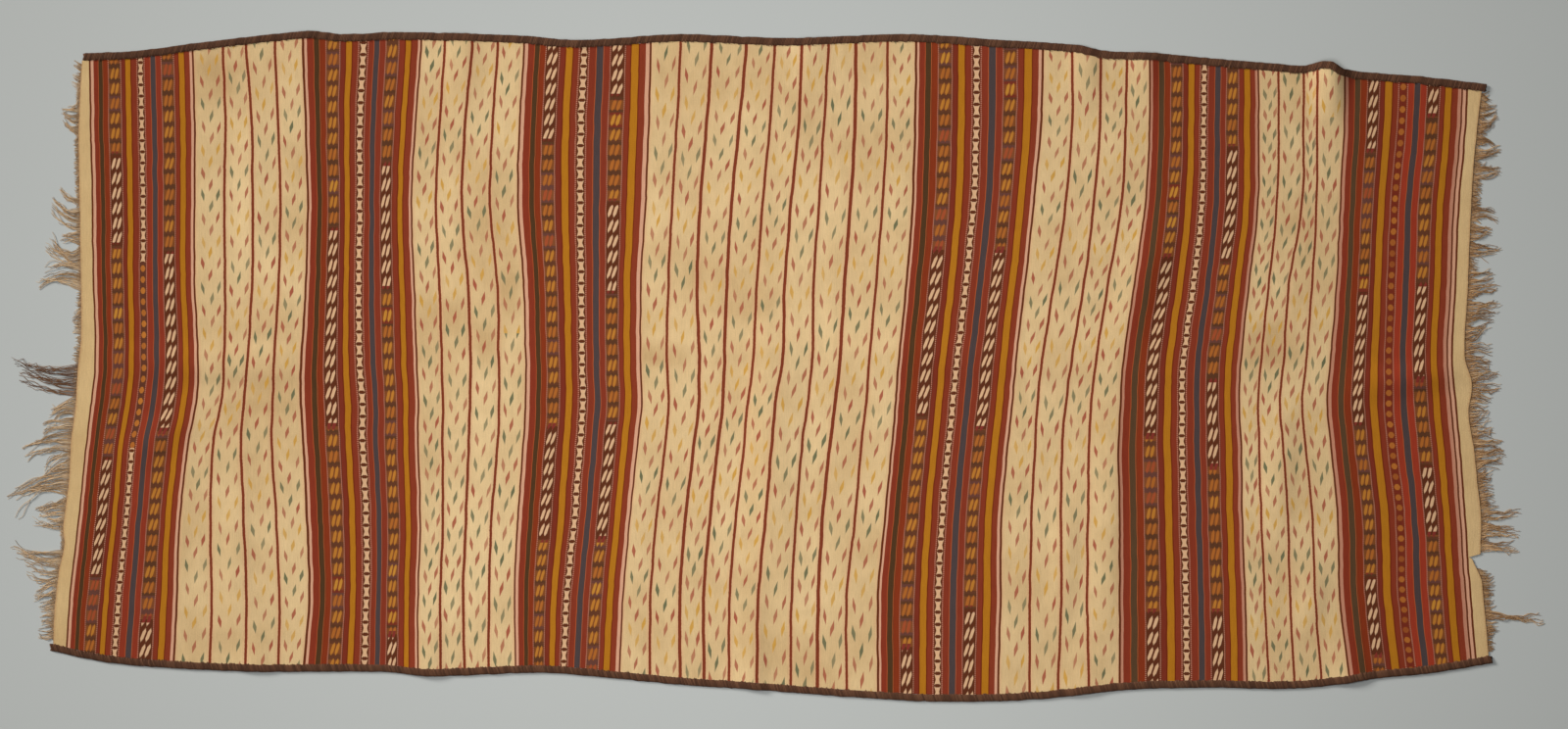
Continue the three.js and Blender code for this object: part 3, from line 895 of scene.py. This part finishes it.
def clothMaterial():
    material, wire, shader = newMaterial("woven wool")
    lane, counter = mapParts(wire, "weave")
    side, lineWidth = mapParts(wire, "tone")
    side = side * 100  # in a field this is the width of the column
    lineWidth = lineWidth * 100
    place = wire.node("ShaderNodeTexCoord", output="Object")
    y = wire.node("ShaderNodeSeparateXYZ", {}, {0: place}, "Y") * 1000

    def noiseAt(scale, offset=0, detail=2.0):
        spot = wire.vector("MULTIPLY", place, (*scale, 1))
        if offset:
            spot = wire.vector("ADD", spot, (offset, offset, 0))
        return wire.node("ShaderNodeTexNoise", {}, {"Vector": spot, "Scale": 1.0, "Detail": detail})

    def chanceAt(*parts):
        spot = wire.node("ShaderNodeCombineXYZ", {}, dict(enumerate(parts)))
        return wire.node("ShaderNodeTexWhiteNoise", {"noise_dimensions": "3D"}, {0: spot})

    pick = pattern["pick"]
    laneCount = laneAt["bands"]
    endLines = laneAt["endLines"]
    band = (lane / laneCount).floor()
    lane = lane % laneCount
    stripe = lane.floor()
    across = lane - stripe
    edge = across.least(1 - across)
    isField = lane.between(laneAt["fields"], endLines - 0.01)
    isFigure = stripe.near(5) + stripe.near(13)
    isCross = stripe.near(9)
    isOrange = side > 0

    # ground colours of the stripes, where the late bands and the first one differ a little
    starts = list(enumerate(stripeDyes))
    starts += [(19.5, "ivory"), (endLines, "pink"), (endLines + 1, "brown"), (endLines + 2, "ivory")]
    stops = [(start / laneCount, dyes[name]) for start, name in starts]
    ground = (lane / laneCount).ramp(stops, "CONSTANT")
    isOlive = stripe.near(3)
    isFirst = band < 0.5
    isLate = band > 3.5
    ground = (isLate * isOlive).blend(ground, "lateOlive")
    ground = (isLate * abs(stripe - 9).near(8)).blend(ground, "latePink")
    ground = ((isOlive + stripe.near(11)) * (edge < 0.1)).blend(ground, "orange")
    besideGold = sum(lane.near(*strip) for strip in pattern["goldEdges"])
    ground = besideGold.blend(ground, "goldShade")
    besideSlate = stripe.near(10) + stripe.near(12)
    brighter = (isFirst * 0.3 + (band > 4.5) * 0.8) * besideSlate
    ground = brighter.blend(ground, "brightRed")

    # pairs of leaning strokes, the orange ones a little slimmer
    length, width, reach, aside, half = pattern["stroke"]
    row = (counter + 0.5).floor()
    climb = ((counter - row) * length).stepped(pick)
    slanted = (across - 0.5) * width + climb * (0.3 - isOrange * 0.08)
    taper = ((1 - abs(climb) / (reach - isOrange * 0.8)) * 2).least(1)
    stroke = abs(abs(slanted) - aside + isOrange * 0.4) < taper * half
    chance = chanceAt(row, stripe, band)
    strokeColour = isOrange.blend("white", chance.ramp(strokeOranges, "CONSTANT"))
    strokeColour = (abs(side) < 8).blend(strokeColour, "atChange")
    groundOrange = chance.ramp(groundOranges, "CONSTANT")
    groundOrange = ((abs(climb) < 11.5) * 0.7).blend(groundOrange, "amongStrokes")
    figure = stroke.blend(isOrange.blend("umber", groundOrange), strokeColour)
    body = isFigure.blend(ground, figure)

    # strip of crossed hourglasses: white ones, and orange ones with a waist and a head
    length, width, step = pattern["cross"]
    crossX = abs(across - 0.5) * width
    crossY = abs((((counter + 0.5) % 1 - 0.5) * length).stepped(step))
    isDark = (crossX < (crossY - 9) * 2.4).most(isOrange * (crossY > 8))
    crossDark = isOrange.blend("umber", isFirst.blend(colour(114, 44, 28), colour(94, 54, 38)))
    crossOrange = (chance * 0.6 + (1 - isFirst) * 0.35).blend(colour(184, 114, 46), colour(140, 72, 34))
    cross = isDark.blend(isOrange.blend("white", crossOrange), crossDark)
    crossSide = (crossX > 8).blend(crossDark, (across > 0.5).blend("wine", "crimson"))
    bulb = (6.8 - crossY * (crossY * 0.03 + 0.3)).most(crossY * 0.7 - 2.6)
    limit = isOrange * bulb + (1 - isOrange) * (3.6 + crossY * 0.27)
    body = isCross.blend(body, (crossX > limit).blend(cross, crossSide))

    # dotted lines beside the figures
    isDotted = (isFigure + isCross) * (edge < isCross * 0.04 + 0.068)
    isDot = (y / pattern["dot"]) % 1 < 0.45
    body = isDotted.blend(body, isDot.blend("maroon", "dot"))

    # ivory, with its stains and painted shade and light, and the skirts, which fray at their outer edge
    stainAndShade = wire.node("ShaderNodeAttribute", {"attribute_name": "stainAndShade"}, output="Fac")
    isIvory = (lane > 19.5) * (1 - lane.between(endLines, endLines + 2))
    stainAndShadeAmount = (stainAndShade + noiseAt((34, 26), 9, 3.0) * 0.5 - 0.25).least(1.2).most(-0.4)
    body = (isIvory * stainAndShadeAmount.blur(-0.4, 1.3)).blend(body, "ivoryStainAndShade")
    isSkirt = lane > laneAt["leftSkirt"] - 0.5
    isRightSkirt = lane > laneAt["rightSkirt"] - 0.5
    body = (isSkirt * (0.5 - isRightSkirt * 0.15)).blend(body, "skirt")
    outer = lane.near(laneAt["leftSkirt"] + 0.5) * (1 - across) + isRightSkirt * across
    frayed = (outer + noiseAt((90, 300), 7) * 0.3 - 0.15).blur(0.8, 1.02)
    body = (frayed * 0.75).blend(body, "frayed")

    # lozenges in the fields: a leaning one in the middle of a column, then a pair at its sides
    columnX = (across - 0.525) * side
    isRight = columnX > 0
    isPair = abs(columnX) > side * 0.125
    isMiddle = 1 - isPair
    pairCount = counter + 0.5 + isRight * (chanceAt(stripe, band, 0.5) * 0.14 + 0.02)
    number = isPair * pairCount.floor() + isMiddle * counter.floor()
    turn = isPair * (pairCount % 1) + isMiddle * (counter % 1) - 0.5
    slip = chanceAt(number, isPair * (isRight + 1) + stripe * 3, band)
    slipX, slipY, slipZ = wire.parts("ShaderNodeSeparateColor", slip.also("Color"), 3)
    length, reach, half = pattern["lozenge"]
    lozengeY = (turn * length + slipX * 7 - 3.5).stepped(pick)
    lean = (1 - isPair * (1 - isRight) * 1.75) * 0.22
    lozengeX = columnX - isPair * (isRight * 2 - 1) * side * 0.265 + lozengeY * lean + slipY * 4 - 2
    fromMiddle = abs(lozengeX) / (slipZ * 1.2 + half) + abs(lozengeY) / reach
    isGreener = band.near(1) * (y < 78) + band.near(4) * y.between(194, 587)
    cycle = (number % 4) / 4 + 0.01
    cycle = cycle - isGreener * cycle.between(0.5, 0.7) * 0.5
    stops = [(i / 4, dyes[name]) for i, name in enumerate(("green", "rose", "straw", "rose"))]
    lozenge = isField * (fromMiddle < 1) * (slipY * 0.3 + 0.7)
    body = lozenge.blend(body, cycle.ramp(stops, "CONSTANT"))

    # lines between the columns of a field
    fromLine = edge * side
    ragged = lineWidth + (noiseAt((120, 260), 5) - 0.5) * 2.2
    body = (isField * (1 - fromLine.blur(lineWidth + 0.5, lineWidth + 8)) * 0.4).blend(body, "blush")
    body = (isField * (lineWidth > 0.1) * (fromLine < ragged)).blend(body, "line")

    # each pick of yarn has its own shade, and slow changes where a new batch of yarn was begun
    picks = noiseAt((560, 34))
    batch = noiseAt((46, 1.6), 3, 3.0)
    fine = noiseAt((620, 420), 0, 1.0)
    shade = picks * 0.3 + fine * 0.34 + batch * 0.16 + 0.6
    shadeColour = wire.node("ShaderNodeCombineColor", {}, {0: shade, 1: shade, 2: shade})
    body = wire.mix(1.0, body, shadeColour, "MULTIPLY")

    # ribs over the warps, and the raised figures
    ribs = wire.math("SINE", y * (math.tau / pick))
    height = ribs * 0.3 + picks * 0.5 + fine * 0.4 + stroke * isFigure * 0.5
    dress(wire, shader, woolLook, body, height)
    return material


def yarnMaterial(name, stops, darkStops=None):
    material, wire, shader = newMaterial(name)
    number, along = mapParts(wire, "yarn")
    chance = wire.node("ShaderNodeTexWhiteNoise", {"noise_dimensions": "1D"}, {"W": number.floor()})
    place = wire.node("ShaderNodeTexCoord", output="Object")
    fine = wire.node("ShaderNodeTexNoise", {}, {"Vector": place, "Scale": 420.0, "Detail": 2.0})
    tone = chance * 0.8 + fine * 0.2
    body = tone.ramp(stops)
    if darkStops:
        body = (number > warpEnds["darkNumber"]).blend(body, tone.ramp(darkStops))
        root = (1 - along.blur(0.0, 0.16)) * 0.45
        body = root.blend(body, colour(98, 70, 42))
    dress(wire, shader, yarnLook, body, fine)
    return material


print("building the cloth")
rug = buildCloth()
rug.data.materials.append(clothMaterial())
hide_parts("cloth")

print("wrapping the long sides")
hair = yarnMaterial("goat hair", shades((0, 66, 40, 25), (0.5, 83, 52, 34), (1, 101, 67, 46)))
selvedgeFar = buildSelvedge("selvedgeFar", farEdge, 1, -1632, 1670, 3)
selvedgeNear = buildSelvedge("selvedgeNear", nearEdge, -1, -1710, 1684, 5)
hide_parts("binding_far")
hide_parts("binding_near")

print("laying the warp ends")
warpTones = shades((0, 124, 96, 68), (0.35, 166, 135, 100), (0.7, 194, 164, 128), (1, 216, 190, 154))
brownTones = shades((0, 106, 76, 48), (0.35, 150, 112, 75), (0.7, 182, 144, 102), (1, 208, 176, 134))
darkTones = shades((0, 80, 52, 34), (0.6, 120, 85, 58), (1, 158, 124, 92))
warp = yarnMaterial("undyed warp", warpTones, darkTones)
brownWarp = yarnMaterial("brown warp", brownTones, darkTones)
warpLeft = buildWarpEnds("warpEndsLeft", leftEdge, -1, tufts["left"], 11)
warpRightFar = buildWarpEnds("warpEndsRightFar", skirtEdge, 1, tufts["rightFar"], 12)
warpRightNear = buildWarpEnds("warpEndsRightNear", skirtEdge, 1, tufts["rightNear"], 13)
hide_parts("fringe_left")
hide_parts("fringe_right_far")
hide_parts("fringe_right_near")

for piece in (selvedgeFar, selvedgeNear):
    piece.data.materials.append(hair)
for piece, yarn in ((warpLeft, warp), (warpRightFar, brownWarp), (warpRightNear, brownWarp)):
    piece.data.materials.append(yarn)
for piece in (rug, selvedgeFar, selvedgeNear, warpLeft, warpRightFar, warpRightNear):
    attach(piece, "root")

print("setting the floor, the lights and the camera")
studio = {
    "frameWidth": 3.696,  # what the picture takes in, in metres
    "centre": (0.0173, 0.0046),
    "height": 7.0,
    "floor": colour(176, 179, 176),
    "sky": (0.9, 0.93, 0.95, 1),
    "skyStrength": 0.1,
}
bpy.ops.mesh.primitive_plane_add(size=14, location=(0, 0, 0))
floor = bpy.context.object
floor.name = "studioFloor"
floorMaterial, _, floorShader = newMaterial("pale floor")
floorShader.inputs["Base Color"].default_value = studio["floor"]
floorShader.inputs["Roughness"].default_value = 0.8
floor.data.materials.append(floorMaterial)


def addLight(name, place, aim, size, power, tint):
    bpy.ops.object.light_add(type="AREA", location=place)
    lamp = bpy.context.object
    lamp.name = name
    lamp.data.size = size
    lamp.data.energy = power
    lamp.data.color = tint
    lamp.rotation_euler = (Vector(aim) - Vector(place)).to_track_quat("-Z", "Y").to_euler()


addLight("windowLight", (-30, 17.5, 14), (-0.1, 0, 0), size=9.5, power=17900, tint=(1.0, 0.985, 0.96))
addLight("skyLight", (-0.15, -0.1, 2.9), (-0.15, 0, 0), size=1.8, power=54, tint=(0.99, 0.99, 1.0))
world = bpy.data.worlds.new("studio")
world.use_nodes = True
background = world.node_tree.nodes["Background"]
background.inputs["Color"].default_value = studio["sky"]
background.inputs["Strength"].default_value = studio["skyStrength"]
bpy.context.scene.world = world

bpy.ops.object.camera_add(location=(*studio["centre"], studio["height"]), rotation=(0, 0, 0))
camera = bpy.context.object
camera.data.sensor_width = 36
camera.data.lens = camera.data.sensor_width * studio["height"] / studio["frameWidth"]
camera.data.clip_end = 60
bpy.context.scene.camera = camera
bpy.context.scene.view_settings.view_transform = "Standard"
